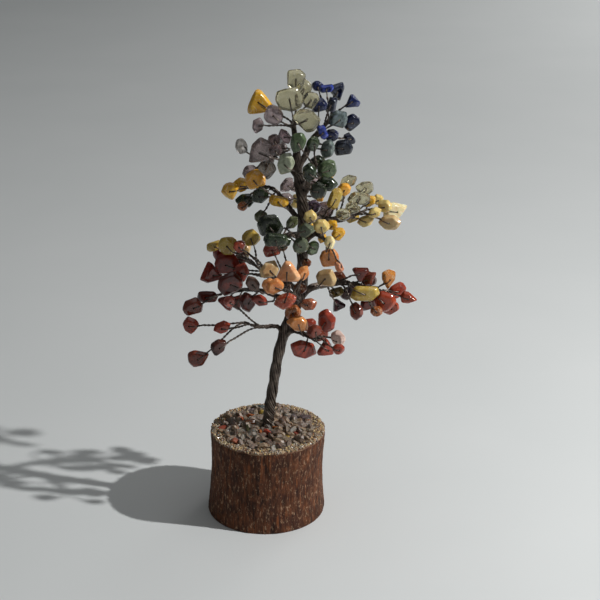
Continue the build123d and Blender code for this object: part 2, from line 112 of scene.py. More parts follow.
# Tones of the stones as they look in daylight
TONES = {
    "red": "#983f2e", "dark_red": "#82291b", "maroon": "#5c241b", "brown_red": "#7b3b2b",
    "dark_brown": "#46251e", "rose": "#b25a4c", "grey_brown": "#6f564b", "red_orange": "#a8452a",
    # pink_white is painted reflection: a red jasper chip coloured pale pink-white where it shows a strong
    # white glare
    "plum": "#43262c", "pink_white": "#e8cdbf", "orange": "#df9554", "light_orange": "#f3ba88",
    "tan": "#d6ba88", "orange_brown": "#9d5a2c", "tan_red": "#a65f42", "umber": "#5e3320",
    "tan_grey": "#96836d", "pink_orange": "#d4906c", "yellow": "#dba92e", "pale_yellow": "#e3cb80",
    "olive_yellow": "#bda24a", "yellow_orange": "#e8aa36", "bright_yellow": "#f1e3ac",
    "cream": "#eadfb4", "amber": "#b8762f", "olive": "#77693a", "dark_green": "#24301d",
    "green": "#4d5d40", "black_green": "#1b2015", "olive_green": "#55583a", "grey_green": "#5b624e",
    "pale_green": "#a9af96", "lapis": "#1b2555", "bright_lapis": "#2b3b8c", "navy": "#141830",
    "dark_blue": "#1a2146", "slate_blue": "#5b6765", "ink": "#181b24", "sea_grey": "#6f7b74",
    "white": "#e6e1da", "amethyst": "#a3928f", "dark_amethyst": "#7a6765", "pale_amethyst": "#bcaaaa",
    "pink_amethyst": "#b0969a", "smoky": "#aaa297", "purple": "#634f60", "clear": "#d0c9a6",
    "dusty": "#86705f", "straw": "#b0967a", "ash": "#968377",
}

# The chips of each CAD node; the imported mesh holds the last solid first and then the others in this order
CHIPS = {
    "low_left_jasper": "red red dark_brown brown_red rose",
    # One low right jasper chip, pink_white, is red jasper painted pale pink-white: a painted reflection, not
    # the stone's colour
    "low_right_jasper": "red red red red pink_white red brown_red brown_red",
    "low_right_carnelian": "orange orange_brown",
    "front_middle_carnelian": "light_orange tan orange orange red_orange orange tan_red umber red tan_grey "
                              "umber",
    "left_middle_jasper": "maroon maroon brown_red dark_red maroon red grey_brown maroon",
    "left_back_citrine": "olive_yellow olive_yellow olive_yellow tan",
    "left_back_jasper": "red_orange dark_red dark_red red dark_red maroon",
    "right_middle_citrine": "tan olive amber olive_yellow orange_brown",
    "right_middle_jasper": "maroon dark_brown plum brown_red maroon red_orange red red_orange dark_brown "
                           "brown_red red_orange plum umber dark_brown",
    "front_upper_aventurine": "black_green dark_green olive_green grey_green grey_green green dark_green "
                              "black_green",
    "right_front_citrine": "pale_yellow yellow yellow bright_yellow pale_yellow yellow",
    "right_front_carnelian": "orange pink_orange",
    "right_upper_quartz": "clear clear clear clear clear clear",
    "right_upper_citrine": "yellow_orange olive_yellow yellow pale_yellow pale_yellow pale_yellow "
                           "pale_yellow cream tan olive_yellow",
    "left_upper_citrine": "yellow yellow yellow_orange yellow orange_brown",
    "left_upper_aventurine": "dark_green dark_green olive_green",
    "back_amethyst": "purple dark_amethyst amethyst pale_amethyst dark_amethyst amethyst",
    "back_citrine": "yellow_orange olive_yellow yellow pale_yellow yellow",
    "right_high_aventurine": "dark_green green dark_green black_green green dark_green pale_green "
                             "black_green",
    "crown_left_amethyst": "white amethyst dark_amethyst dark_amethyst amethyst smoky dark_amethyst "
                           "amethyst",
    "crown_right_lapis": "lapis bright_lapis navy dark_blue navy lapis slate_blue navy bright_lapis "
                         "dark_blue navy ink sea_grey",
    "crown_top_quartz": "clear clear clear clear clear",
    "crown_top_amethyst": "pale_amethyst pink_amethyst pale_amethyst",
    "crown_top_citrine": "yellow",
}


def linear(colour):
    """An sRGB hex value as linear red, green, blue and alpha."""
    shares = [int(colour[place:place + 2], 16) / 255 for place in (1, 3, 5)]
    return (*[s / 12.92 if s <= 0.04045 else ((s + 0.055) / 1.055) ** 2.4 for s in shares], 1.0)


# Sockets that share a name go by number: a Mix node's share, its two colours and the colour it gives
SHARE, UNDER, OVER, MIXED = 0, 6, 7, 2


def per_mm(size):
    """The scale of a pattern on Object coordinates whose features are this many millimetres wide."""
    return 1 / (size * MM)


def set_sockets(made, links):
    """Links or sets the sockets of a node."""
    for socket, value in links.items():
        if isinstance(value, bpy.types.NodeSocket):
            made.id_data.links.new(value, made.inputs[socket])
        else:
            made.inputs[socket].default_value = value


def node(tree, kind, links=None, **settings):
    """Adds a node, with its settings and with its sockets linked or set."""
    made = tree.nodes.new(kind)
    for name, value in settings.items():
        setattr(made, name, value)
    set_sockets(made, links or {})
    return made


def new_material(name):
    """An empty material, with its node tree, its shader and Object coordinates."""
    material = bpy.data.materials.new(name)
    material.use_nodes = True
    tree = material.node_tree
    shader = tree.nodes["Principled BSDF"]
    place = node(tree, "ShaderNodeTexCoord").outputs["Object"]
    return material, tree, shader, place


def polished_stone(name, shade, cloud, cloudiness, vein, vein_size, vein_width, gloss, clear=0.0, glow=0.0):
    """A tumbled and polished stone: its chip's tone, cloudy shading, thin veins and an uneven gloss.

    cloud and vein_size are millimetres, vein_width is a step of the noise, clear is the share of light let
    through and glow the share scattered inside.
    """
    material, tree, shader, place = new_material(name)
    tone = node(tree, "ShaderNodeAttribute", attribute_name="tone").outputs["Color"]
    clouds = node(tree, "ShaderNodeTexNoise", {
        "Vector": place, "Scale": per_mm(cloud), "Detail": 4.0, "Roughness": 0.6, "Distortion": 0.7})
    depth = node(tree, "ShaderNodeMapRange", {
        "Value": clouds.outputs["Fac"], "From Min": 0.42, "From Max": 0.68, "To Max": cloudiness})
    shaded = node(tree, "ShaderNodeMix", {
        SHARE: depth.outputs["Result"], UNDER: tone, OVER: linear(shade),
    }, data_type="RGBA", blend_type="MULTIPLY")
    seams = node(tree, "ShaderNodeTexNoise", {
        "Vector": place, "Scale": per_mm(vein_size), "Detail": 3.0, "Roughness": 0.55, "Distortion": 1.4})
    level = node(tree, "ShaderNodeMath", {0: seams.outputs["Fac"], 1: 0.5}, operation="SUBTRACT")
    distance = node(tree, "ShaderNodeMath", {0: level.outputs["Value"]}, operation="ABSOLUTE")
    line = node(tree, "ShaderNodeMapRange", {
        "Value": distance.outputs["Value"], "From Min": 0.0, "From Max": vein_width,
        "To Min": 0.4, "To Max": 0.0})
    veined = node(tree, "ShaderNodeMix", {
        SHARE: line.outputs["Result"], UNDER: shaded.outputs[MIXED], OVER: linear(vein),
    }, data_type="RGBA")
    wear = node(tree, "ShaderNodeTexNoise", {"Vector": place, "Scale": per_mm(0.9), "Detail": 3.0})
    rough = node(tree, "ShaderNodeMapRange", {
        "Value": wear.outputs["Fac"], "From Min": 0.3, "From Max": 0.7,
        "To Min": gloss, "To Max": gloss + 0.1})
    dents = node(tree, "ShaderNodeBump", {
        "Strength": 0.12, "Distance": 0.08 * MM, "Height": wear.outputs["Fac"]})
    set_sockets(shader, {
        "Base Color": veined.outputs[MIXED], "Roughness": rough.outputs["Result"],
        "Normal": dents.outputs["Normal"], "IOR": 1.54, "Transmission Weight": clear,
        "Subsurface Weight": glow, "Subsurface Radius": (1.0, 0.6, 0.4), "Subsurface Scale": 0.8 * MM})
    return material


# Opaque red jasper shows dark iron clouds and thin rusty seams under a wet-looking polish
JASPER = polished_stone(
    "tumbled red jasper", shade="#8a6254", cloud=3.0, cloudiness=0.6,
    vein="#3a1512", vein_size=3.6, vein_width=0.02, gloss=0.09)
# Carnelian lets some light in, so it glows orange with milky bands
CARNELIAN = polished_stone(
    "tumbled carnelian", shade="#d39a74", cloud=3.4, cloudiness=0.6,
    vein="#f0c79a", vein_size=4.2, vein_width=0.03, gloss=0.09, clear=0.1, glow=0.25)
# Yellow quartz is nearly even in colour: honey patches under a waxy polish
CITRINE = polished_stone(
    "tumbled yellow quartz", shade="#c9a262", cloud=3.6, cloudiness=0.45,
    vein="#f4e8c0", vein_size=4.6, vein_width=0.02, gloss=0.14, clear=0.1, glow=0.3)
# Aventurine is dense green with darker mica clouds
AVENTURINE = polished_stone(
    "tumbled green aventurine", shade="#5e6148", cloud=2.4, cloudiness=0.7,
    vein="#8f9678", vein_size=3.4, vein_width=0.02, gloss=0.08)
# Lapis is deep blue, black in its dense parts, with pale calcite seams
LAPIS = polished_stone(
    "tumbled lapis lazuli", shade="#34363f", cloud=2.2, cloudiness=0.9,
    vein="#8e97ab", vein_size=3.4, vein_width=0.012, gloss=0.08)
# Amethyst is zoned purple and half clear
AMETHYST = polished_stone(
    "tumbled amethyst", shade="#9a8a90", cloud=3.0, cloudiness=0.45,
    vein="#d8ccd8", vein_size=4.0, vein_width=0.02, gloss=0.08, clear=0.6)
# Rock crystal is clear with a few straw-coloured veils inside
QUARTZ = polished_stone(
    "tumbled rock crystal", shade="#cdc6ac", cloud=3.0, cloudiness=0.5,
    vein="#f3f0e8", vein_size=4.0, vein_width=0.03, gloss=0.04, clear=0.9)
# Crushed quartz is full of cracks, so it is milky and lets little light straight through
CRUSHED_QUARTZ = polished_stone(
    "crushed clouded quartz", shade="#9a8672", cloud=2.0, cloudiness=0.8,
    vein="#d8c8b0", vein_size=2.6, vein_width=0.05, gloss=0.4, clear=0.4, glow=0.3)
STONES = {
    "jasper": JASPER, "carnelian": CARNELIAN, "citrine": CITRINE, "aventurine": AVENTURINE,
    "lapis": LAPIS, "amethyst": AMETHYST, "quartz": QUARTZ,
}


def enamelled_wire():
    """Enamelled copper wire: dark brown varnish over metal, rubbed paler where it was twisted."""
    material, tree, shader, place = new_material("dark enamelled copper wire")
    rub = node(tree, "ShaderNodeTexNoise", {
        "Vector": place, "Scale": per_mm(3.0), "Detail": 3.0, "Roughness": 0.5})
    share = node(tree, "ShaderNodeMapRange", {"Value": rub.outputs["Fac"], "From Min": 0.4, "From Max": 0.75})
    colour = node(tree, "ShaderNodeMix", {
        SHARE: share.outputs["Result"], UNDER: linear("#3d342e"), OVER: linear("#7a6d62"),
    }, data_type="RGBA")
    rough = node(tree, "ShaderNodeMapRange", {"Value": rub.outputs["Fac"], "To Min": 0.22, "To Max": 0.4})
    set_sockets(shader, {
        "Base Color": colour.outputs[MIXED], "Roughness": rough.outputs["Result"], "Metallic": 0.6})
    return material


def rough_bark():
    """Dried bark: dark and red-brown patches, rusty upright streaks, and pale flecks of worn cork."""
    material, tree, shader, place = new_material("dried reddish bark")
    upright = node(tree, "ShaderNodeMapping", {"Vector": place, "Scale": (1.0, 1.0, 0.22)})
    streaks = node(tree, "ShaderNodeTexNoise", {
        "Vector": upright.outputs["Vector"], "Scale": per_mm(1.3), "Detail": 6.0,
        "Roughness": 0.65, "Distortion": 0.5})
    brown = node(tree, "ShaderNodeMapRange", {
        "Value": streaks.outputs["Fac"], "From Min": 0.34, "From Max": 0.66})
    colour = node(tree, "ShaderNodeMix", {
        SHARE: brown.outputs["Result"], UNDER: linear("#231209"), OVER: linear("#6e4026"),
    }, data_type="RGBA")
    # Patches, rust and flecks: tone, upright scale, width, detail, roughness, distortion, range and top share
    for tone, upright_scale, width, detail, rough, distortion, low, high, most in [
        ("#33190f", 1.0, 9.0, 5.0, 0.6, 0.6, 0.45, 0.62, 0.7),
        ("#93532c", 0.09, 1.1, 3.0, 0.55, 0.0, 0.57, 0.7, 0.6),
        ("#b08f72", 0.4, 0.9, 3.0, 0.75, 0.0, 0.56, 0.68, 0.75),
    ]:
        drawn_out = node(tree, "ShaderNodeMapping", {"Vector": place, "Scale": (1.0, 1.0, upright_scale)})
        layer = node(tree, "ShaderNodeTexNoise", {
            "Vector": drawn_out.outputs["Vector"], "Scale": per_mm(width), "Detail": detail,
            "Roughness": rough, "Distortion": distortion})
        share = node(tree, "ShaderNodeMapRange", {
            "Value": layer.outputs["Fac"], "From Min": low, "From Max": high, "To Max": most})
        colour = node(tree, "ShaderNodeMix", {
            SHARE: share.outputs["Result"], UNDER: colour.outputs[MIXED], OVER: linear(tone),
        }, data_type="RGBA")
    relief = node(tree, "ShaderNodeBump", {
        "Strength": 0.9, "Distance": 0.6 * MM, "Height": streaks.outputs["Fac"]})
    set_sockets(shader, {
        "Base Color": colour.outputs[MIXED], "Normal": relief.outputs["Normal"], "Roughness": 0.8,
        "Specular IOR Level": 0.3})
    return material


def end_grain():
    """Sawn end grain: pale pores and sawdust in fine rings."""
    material, tree, shader, place = new_material("sawn end grain")
    grit = node(tree, "ShaderNodeTexNoise", {
        "Vector": place, "Scale": per_mm(0.6), "Detail": 5.0, "Roughness": 0.75})
    rings = node(tree, "ShaderNodeTexWave", {
        "Vector": place, "Scale": per_mm(6.0), "Distortion": 2.0, "Detail": 2.0},
        wave_type="RINGS", rings_direction="Z")
    pores = node(tree, "ShaderNodeMath", {
        0: grit.outputs["Fac"], 1: rings.outputs["Fac"]}, operation="MULTIPLY")
    share = node(tree, "ShaderNodeMapRange", {
        "Value": pores.outputs["Value"], "From Min": 0.08, "From Max": 0.5})
    colour = node(tree, "ShaderNodeMix", {
        SHARE: share.outputs["Result"], UNDER: linear("#6b4a35"), OVER: linear("#c2a684"),
    }, data_type="RGBA")
    relief = node(tree, "ShaderNodeBump", {
        "Strength": 0.7, "Distance": 0.25 * MM, "Height": grit.outputs["Fac"]})
    set_sockets(shader, {
        "Base Color": colour.outputs[MIXED], "Normal": relief.outputs["Normal"], "Roughness": 0.85})
    return material


def dusty_glue():
    """Clear glue full of stone dust and sawdust: beige grains with a patchy wet gloss."""
    material, tree, shader, place = new_material("glue with stone dust")
    grains = node(tree, "ShaderNodeTexVoronoi", {"Vector": place, "Scale": per_mm(0.7)})
    dust = node(tree, "ShaderNodeTexNoise", {"Vector": place, "Scale": per_mm(1.8), "Detail": 4.0})
    share = node(tree, "ShaderNodeMapRange", {
        "Value": dust.outputs["Fac"], "From Min": 0.35, "From Max": 0.68})
    base = node(tree, "ShaderNodeMix", {
        SHARE: share.outputs["Result"], UNDER: linear("#4c3d31"), OVER: linear("#8b7660"),
    }, data_type="RGBA")
    spots = node(tree, "ShaderNodeMapRange", {
        "Value": grains.outputs["Distance"], "From Min": 0.1, "From Max": 0.45,
        "To Min": 0.45, "To Max": 0.0})
    colour = node(tree, "ShaderNodeMix", {
        SHARE: spots.outputs["Result"], UNDER: base.outputs[MIXED], OVER: linear("#a8957b"),
    }, data_type="RGBA")
    rough = node(tree, "ShaderNodeMapRange", {"Value": dust.outputs["Fac"], "To Min": 0.2, "To Max": 0.6})
    relief = node(tree, "ShaderNodeBump", {
        "Strength": 0.6, "Distance": 0.3 * MM, "Height": grains.outputs["Distance"]})
    set_sockets(shader, {
        "Base Color": colour.outputs[MIXED], "Roughness": rough.outputs["Result"],
        "Normal": relief.outputs["Normal"], "IOR": 1.5})
    return material


def pale_board():
    """A pale matt board to stand on, with a trace of unevenness."""
    material, tree, shader, place = new_material("matt painted board")
    uneven = node(tree, "ShaderNodeTexNoise", {"Vector": place, "Scale": per_mm(90.0), "Detail": 2.0})
    colour = node(tree, "ShaderNodeMix", {
        SHARE: uneven.outputs["Fac"], UNDER: linear("#cfd2d1"), OVER: linear("#d6d8d7"),
    }, data_type="RGBA")
    set_sockets(shader, {"Base Color": colour.outputs[MIXED], "Roughness": 0.7})
    return material


WIRE_FINISH = enamelled_wire()
BARK = rough_bark()
END_GRAIN = end_grain()
GLUE = dusty_glue()


def pick(*objects):
    """Selects only these objects, with the first one active."""
    bpy.ops.object.select_all(action="DESELECT")
    for obj in objects:
        obj.select_set(True)
    bpy.context.view_layer.objects.active = objects[0]


def added(primitive, **settings):
    """Adds a primitive with nothing else selected and gives its object."""
    bpy.ops.object.select_all(action="DESELECT")
    primitive(**settings)
    return bpy.context.view_layer.objects.active


def linked(name, data):
    """A new object in the scene with this data."""
    obj = bpy.data.objects.new(name, data)
    bpy.context.scene.collection.objects.link(obj)
    return obj


def edit_all(obj):
    """Opens one mesh in edit mode with everything on it selected."""
    pick(obj)
    bpy.ops.object.mode_set(mode="EDIT")
    bpy.ops.mesh.select_all(action="SELECT")


def shaped(obj, kind, **settings):
    """Gives a mesh a modifier and applies it."""
    modifier = obj.modifiers.new(kind.lower(), kind)
    for name, value in settings.items():
        setattr(modifier, name, value)
    pick(obj)
    bpy.ops.object.modifier_apply(modifier=modifier.name)


def joined(objects, name):
    """Joins meshes into one piece with that name."""
    pick(*objects)
    if len(objects) > 1:
        bpy.ops.object.join()
    piece = bpy.context.view_layer.objects.active
    piece.name = name
    piece.data.name = name
    return piece


def finished(piece, material, body, slot, *nodes):
    """Dresses a piece and hangs it on its body in place of the CAD nodes it stands for."""
    piece.data.materials.clear()
    piece.data.materials.append(material)
    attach(piece, body)
    if nodes:
        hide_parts(*nodes)


def paint(obj, colour):
    """Gives every point of a mesh one tone, which the stone's material reads."""
    tone = obj.data.attributes.new("tone", "FLOAT_COLOR", "POINT")
    tone.data.foreach_set("color", list(linear(colour)) * len(obj.data.vertices))


# Points that Blender puts between two control points, before they are spaced evenly
GUIDE_RESOLUTION = 24


def smooth_line(points, step):
    """Points a step apart along the smooth line that has these control points."""
    curve = bpy.data.curves.new("guide", "CURVE")
    curve.dimensions = "3D"
    curve.resolution_u = GUIDE_RESOLUTION
    spline = curve.splines.new("NURBS")
    spline.points.add(len(points) - 1)
    for knot, point in zip(spline.points, points):
        knot.co = (*point, 1.0)
    spline.order_u = 3
    spline.use_endpoint_u = True
    guide = bpy.data.objects.new("guide", curve)
    mesh = bpy.data.meshes.new_from_object(guide)
    line = [corner.co.copy() for corner in mesh.vertices]
    bpy.data.objects.remove(guide)
    bpy.data.curves.remove(curve)
    bpy.data.meshes.remove(mesh)
    return spaced(line, step)


def spaced(line, step):
    """The same line with its points about a step apart."""
    total = sum((b - a).length for a, b in zip(line, line[1:]))
    count = max(2, round(total / step))
    wanted = total / count
    points = [line[0].copy()]
    passed = 0.0
    for a, b in zip(line, line[1:]):
        run = (b - a).length
        while run > 0 and len(points) <= count and passed + run >= wanted * len(points) - 1e-12:
            points.append(a.lerp(b, (wanted * len(points) - passed) / run))
        passed += run
    points[-1] = line[-1].copy()
    return points


def square_to(vector, axis):
    """The part of a vector that is square to an axis."""
    return vector - axis * vector.dot(axis)


def turned(across, beside, angle):
    """The direction at an angle from one direction towards another that is square to it."""
    return across * math.cos(angle) + beside * math.sin(angle)


def directions_along(line):
    """For each point of a line, two directions square to it that turn as little as they can."""
    pairs = []
    across = None
    for place in range(len(line)):
        ahead = (line[min(place + 1, len(line) - 1)] - line[max(place - 1, 0)]).normalized()
        if across is None:
            across = ahead.orthogonal()
        across = square_to(across, ahead).normalized()
        pairs.append((across, ahead.cross(across)))
    return pairs


def wire_mesh(name, lines, thickness):
    """Round wire along each line of points, with a radius for each point where one is given."""
    curve = bpy.data.curves.new(name, "CURVE")
    curve.dimensions = "3D"
    curve.bevel_depth = thickness * MM / 2
    curve.bevel_resolution = 1
    curve.use_fill_caps = True
    curve.resolution_u = 1
    for line in lines:
        spline = curve.splines.new("POLY")
        spline.points.add(len(line) - 1)
        for knot, point in zip(spline.points, line):
            knot.co = (*point[:3], 1.0)
            knot.radius = point[3] if len(point) > 3 else 1.0
    pick(linked(name, curve))
    bpy.ops.object.convert(target="MESH")
    obj = bpy.context.view_layer.objects.active
    bpy.ops.object.shade_smooth()
    return obj


# Corners of a CAD mesh closer than this are one corner
MERGE_DISTANCE = 0.002


def solids_of(name):
    """A CAD node's mesh, merged, and the corners of each of its solids in the order the mesh holds them."""
    merged = bmesh.new()
    merged.from_mesh(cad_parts[name].data)
    bmesh.ops.remove_doubles(merged, verts=merged.verts, dist=MERGE_DISTANCE * MM)
    solids = []
    seen = set()
    for first in merged.verts:
        if first in seen:
            continue
        seen.add(first)
        group = [first]
        for corner in group:
            for edge in corner.link_edges:
                other = edge.other_vert(corner)
                if other not in seen:
                    seen.add(other)
                    group.append(other)
        solids.append(group)
    return merged, solids


# The three spans between corners of the six-sided end of a CAD wire, and how exactly they are met
HEXAGON = [BARE_WIRE * MM * share for share in (0.5, math.sqrt(0.75), 1.0)]
SPAN_SLACK = 0.004


def on_wire_end(face):
    """Whether a face of a CAD wire lies on one of its six-sided ends."""
    return all(
        min(abs(edge.calc_length() - span) for span in HEXAGON) < SPAN_SLACK * MM for edge in face.edges)


def twigs_of(limb):
    """Where each twig of a limb starts, meets its chip's edge and passes the chip's two faces."""
    merged, solids = solids_of(limb + "_twigs")
    twigs = []
    for group in solids:
        ends = set()
        for corner in group:
            for face in corner.link_faces:
                if on_wire_end(face):
                    ends.update(face.verts)
        ring = [next(corner for corner in group if corner in ends)]
        for corner in ring:
            for edge in corner.link_edges:
                if edge.other_vert(corner) in ends and edge.other_vert(corner) not in ring:
                    ring.append(edge.other_vert(corner))
        seen = set(ring)
        bends = []
        while ring:
            bends.append(sum((corner.co for corner in ring), Vector()) / len(ring))
            beyond = [edge.other_vert(corner) for corner in ring for edge in corner.link_edges]
            ring = [corner for corner in dict.fromkeys(beyond) if corner not in seen]
            seen.update(ring)
        # Bends come in pairs from the wire's two ends: at the limb, the chip's edge, its faces and its hole
        twigs.append({
            "start": (bends[0] + bends[-1]) / 2, "edge": (bends[1] + bends[-2]) / 2,
            "middle": (bends[3] + bends[4]) / 2, "normal": (bends[3] - bends[4]).normalized(),
        })
    merged.free()
    return twigs


# Tumbling leaves broad dents: their width, depth, depth on quartz, and the noise level that stays in place
DENT_WIDTH = 5.0
DENT_DEPTH = 0.45
QUARTZ_DENT_DEPTH = 0.9
DENT_LEVEL = 0.45
TUMBLING = bpy.data.textures.new("tumbling", "CLOUDS")
TUMBLING.noise_scale = DENT_WIDTH * MM
TUMBLING.noise_depth = 1

# Breaks on a chip: bearing from the wire in degrees, slope to the faces, and share of the reach that is kept
CHIP_BREAKS = 2
BREAK_BEARINGS = (80, 280)
BREAK_SLOPES = (0.45, 0.9)
BREAK_SHARES = (0.74, 0.88)

# Facets flatter than this many degrees are one; worn edges take up a percentage of the edges beside them
FACET_ANGLE = 2
EDGE_WEAR = 18
EDGE_SEGMENTS = 2
CHIP_CREASE = 40

# Drilling: corners of the CAD hole lie within this share of its diameter from the middle
DRILL_SIDES = 12
DRILL_LENGTH = 4 * CHIP_HALF
HOLE_SHARE = 0.6

# A ray back from this far out finds where the wire meets the chip's side
PROBE_DISTANCE = 20


def worn_chip(corners, twig, draws):
    """One chip: the CAD facets, with shallow breaks on the sides away from the wire and worn edges."""
    mesh = bpy.data.meshes.new("chip")
    mesh.from_pydata(corners, [], [])
    chip = linked("chip", mesh)
    edit_all(chip)
    bpy.ops.mesh.convex_hull()
    bpy.ops.mesh.select_all(action="SELECT")
    bpy.ops.mesh.dissolve_limited(angle_limit=math.radians(FACET_ANGLE))
    beside = twig["normal"].cross(twig["stem"])
    for number in range(CHIP_BREAKS):
        bearing = math.radians(draws.uniform(*BREAK_BEARINGS))
        slope = draws.uniform(*BREAK_SLOPES) * (1 if number % 2 else -1)
        way = (turned(twig["stem"], beside, bearing) + twig["normal"] * slope).normalized()
        depth = draws.uniform(*BREAK_SHARES) * max((corner - twig["middle"]).dot(way) for corner in corners)
        bpy.ops.mesh.select_all(action="SELECT")
        bpy.ops.mesh.bisect(
            plane_co=twig["middle"] + way * depth, plane_no=way, use_fill=True, clear_outer=True)
    bpy.ops.mesh.select_all(action="SELECT")
    bpy.ops.mesh.bevel(offset_type="PERCENT", offset_pct=EDGE_WEAR, segments=EDGE_SEGMENTS, affect="EDGES")
    bpy.ops.object.mode_set(mode="OBJECT")
    return chip


def drill_through(chip, twig):
    """Drills a chip where its wire goes through."""
    drill = added(
        bpy.ops.mesh.primitive_cylinder_add, vertices=DRILL_SIDES, radius=CHIP_HOLE * MM / 2,
        depth=DRILL_LENGTH * MM, location=twig["middle"],
        rotation=twig["normal"].to_track_quat("Z", "Y").to_euler())
    shaped(chip, "BOOLEAN", object=drill, operation="DIFFERENCE", solver="MANIFOLD")
    bpy.data.objects.remove(drill)


def tumbled_chips(limb, stone, twigs):
    """The drilled chips of one stone on a limb, each in its own tone."""
    name = limb + "_" + stone
    merged, solids = solids_of(name)
    draws = random.Random(name)
    dents = QUARTZ_DENT_DEPTH if stone == "quartz" else DENT_DEPTH
    chips = []
    tones = CHIPS[name].split()
    for group, tone in zip(solids, tones[-1:] + tones[:-1]):
        corners = [corner.co.copy() for corner in group]
        middle = sum(corners, Vector()) / len(corners)
        twig = min(twigs, key=lambda other: (other["middle"] - middle).length)
        twig["stem"] = square_to(twig["edge"] - twig["middle"], twig["normal"]).normalized()
        outer = []
        for corner in corners:
            if square_to(corner - twig["middle"], twig["normal"]).length > HOLE_SHARE * CHIP_HOLE * MM:
                outer.append(corner)
        chip = worn_chip(outer, twig, draws)
        shaped(chip, "SUBSURF", levels=1, render_levels=1)
        shaped(chip, "DISPLACE", texture=TUMBLING, texture_coords="LOCAL", strength=dents * MM,
               mid_level=DENT_LEVEL)
        probe = twig["middle"] + twig["stem"] * PROBE_DISTANCE * MM
        met = chip.ray_cast(probe, -twig["stem"])[1]
        twig["reach"] = (met - twig["middle"]).length
        drill_through(chip, twig)
        paint(chip, TONES[tone])
        chips.append(chip)
    merged.free()
    piece = joined(chips, name + "_chips")
    bpy.ops.object.shade_smooth_by_angle(angle=math.radians(CHIP_CREASE))
    finished(piece, STONES[stone], limb, stone, name)


def trunk_at(height):
    """Centre and radius of the trunk at a height above the log's top, in millimetres."""
    for (low_x, low, low_size), (high_x, high, high_size) in zip(TRUNK, TRUNK[1:]):
        if height <= high:
            share = (height - low) / (high - low)
            break
    centre = Vector((low_x + (high_x - low_x) * share, 0, LOG_HEIGHT + height))
    return centre, (low_size + (high_size - low_size) * share) / 2


# A limb's wires start in the trunk: how far below it, where they turn out, and at what share of the radius
ROOT_DEPTH = 7.0
ROOT_TURN = 2.5
ROOT_SHARE = 0.6


def limb_line(limb):
    """The middle line of a limb, from inside the trunk to its tip, and where its root lies."""
    height, heading, offsets = LIMBS[limb]
    centre, radius = trunk_at(height)
    below = trunk_at(height - ROOT_DEPTH)[0]
    if heading is None:
        root = centre + Vector((0, 0, HINGE_REACH))
        start = [below, centre]
    else:
        outward = Vector((math.cos(math.radians(heading)), math.sin(math.radians(heading)), 0))
        root = centre + outward * (radius + HINGE_REACH)
        start = [below, trunk_at(height - ROOT_TURN)[0] + outward * radius * ROOT_SHARE]
    points = start + [root] + [root + Vector(offset) for offset in offsets]
    return smooth_line([point * MM for point in points], LINE_STEP * MM), root * MM


# Pairs in a limb: how far the first spreads it, the angle between neighbours, and line points per wire point
PAIR_SPREAD = 0.26
PAIR_ANGLE = 2.4
PAIR_STRIDE = 2

# Points that a limb's wires share with the ends that stay in the trunk
INNER_OVERLAP = 2

# Twigs: how gently they leave the limb and meet the chip, as a share of their length, and their points
TWIG_EASE = 0.3
TWIG_POINTS = 24

# The fold over a chip, from its edge into its hole: share of the chip's reach, way along the stem, height
FOLD = [
    (1.0, 0.25, 0.4), (0.6, 0.0, CHIP_HALF + 0.05), (0.0, 0.42, CHIP_HALF + 0.08),
    (0.0, 0.12, CHIP_HALF - 0.12), (0.0, 0.0, CHIP_HALF - 0.6),
]


def limb_wires(limb, twigs):
    """All wires of a limb: each pair winds round the limb, leaves it and is folded through its chip.

    What lies in the trunk, short of the limb's root, stays still when the limb bends and is handed back.
    """
    line, root = limb_line(limb)
    sides = directions_along(line)
    rooted = min(range(len(line)), key=lambda place: (line[place] - root).length)
    entry = (rooted - round(HINGE_REACH / LINE_STEP)) // PAIR_STRIDE
    leaves = []
    for twig in twigs:
        leaves.append(min(range(rooted, len(line)), key=lambda place: (line[place] - twig["start"]).length))
    pairs = [max(1, sum(leaf >= place for leaf in leaves)) for place in range(len(line))]
    inner = []
    wires = []
    for number, (twig, leaf) in enumerate(zip(twigs, leaves)):
        middle_line = []
        for place in range(0, leaf, PAIR_STRIDE):
            turn = number * PAIR_ANGLE - place * LINE_STEP * 2 * math.pi / LIMB_PITCH
            spread = PAIR_SPREAD * MM * math.sqrt(pairs[place])
            middle_line.append(line[place] + turned(*sides[place], turn) * spread)
        ahead = (line[leaf] - line[max(leaf - PAIR_STRIDE, 0)]).normalized()
        ease = (twig["edge"] - middle_line[-1]).length * TWIG_EASE
        twig_line = interpolate_bezier(
            middle_line[-1], middle_line[-1] + ahead * ease,
            twig["edge"] + twig["stem"] * ease, twig["edge"], TWIG_POINTS)
        inner.append(middle_line[:entry + INNER_OVERLAP])
        pair_line = spaced(middle_line[entry:-1] + twig_line, WIRE_STEP * MM)
        wires.append(folded_pair(pair_line, twig))
    piece = wire_mesh(limb + "_wires", wires, WIRE)
    finished(piece, WIRE_FINISH, limb, "wire", limb + "_limb", limb + "_twigs")
    return inner


def folded_pair(pair_line, twig):
    """One wire: a leg out along the line, over the chip, through its hole, and the other leg back."""
    sides = directions_along(pair_line)
    across, beside = sides[-1]
    normal = twig["normal"]
    last = math.atan2(normal.dot(beside), normal.dot(across))
    out = []
    back = []
    for place, (point, (across, beside)) in enumerate(zip(pair_line, sides)):
        turn = last - (len(pair_line) - 1 - place) * WIRE_STEP * 2 * math.pi / PAIR_PITCH
        offset = turned(across, beside, turn) * (WIRE / 2) * MM
        out.append(point + offset)
        back.append(point - offset)
    fold = []
    for side in (1, -1):
        half = []
        for share, along, height in FOLD:
            beyond = twig["stem"] * (twig["reach"] * share + along * MM)
            half.append(twig["middle"] + beyond + normal * side * height * MM)
        fold += half if side > 0 else half[::-1]
    return out + fold + back[::-1]


# Trunk: strands, wires in each, how far its foot is sunk, and over which heights the twist steepens
TRUNK_STRANDS = 4
STRAND_WIRES = 3
TRUNK_SINK = 1.5
TWIST_FROM = 8.0
TWIST_OVER = 14.0

